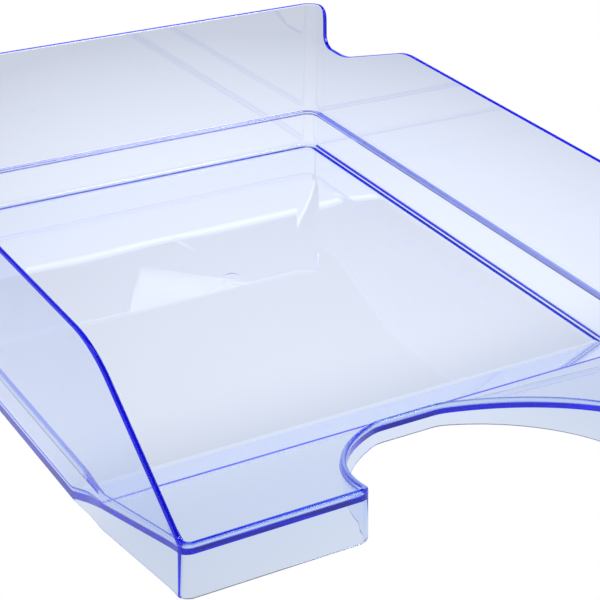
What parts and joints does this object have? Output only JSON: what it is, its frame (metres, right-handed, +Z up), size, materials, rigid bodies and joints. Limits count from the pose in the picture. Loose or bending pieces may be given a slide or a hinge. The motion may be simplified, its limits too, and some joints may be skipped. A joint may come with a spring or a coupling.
{
  "type": "letter tray",
  "caption": "Stackable open-fronted letter tray in clear pale blue plastic, with a low front wall, a finger cut-out and sides that slope down to the front.",
  "frame": {"origin": "on the resting surface, under the middle of the tray's box", "axes": "+X across the tray, +Y from the open front towards the back wall, +Z up"},
  "size_m": [0.255, 0.346, 0.0795],
  "materials": {
    "clear_blue_plastic": "glossy transparent tint"
  },
  "bodies": {
    "root": {"tray_moulding": "clear_blue_plastic"}
  },
  "joints": []
}
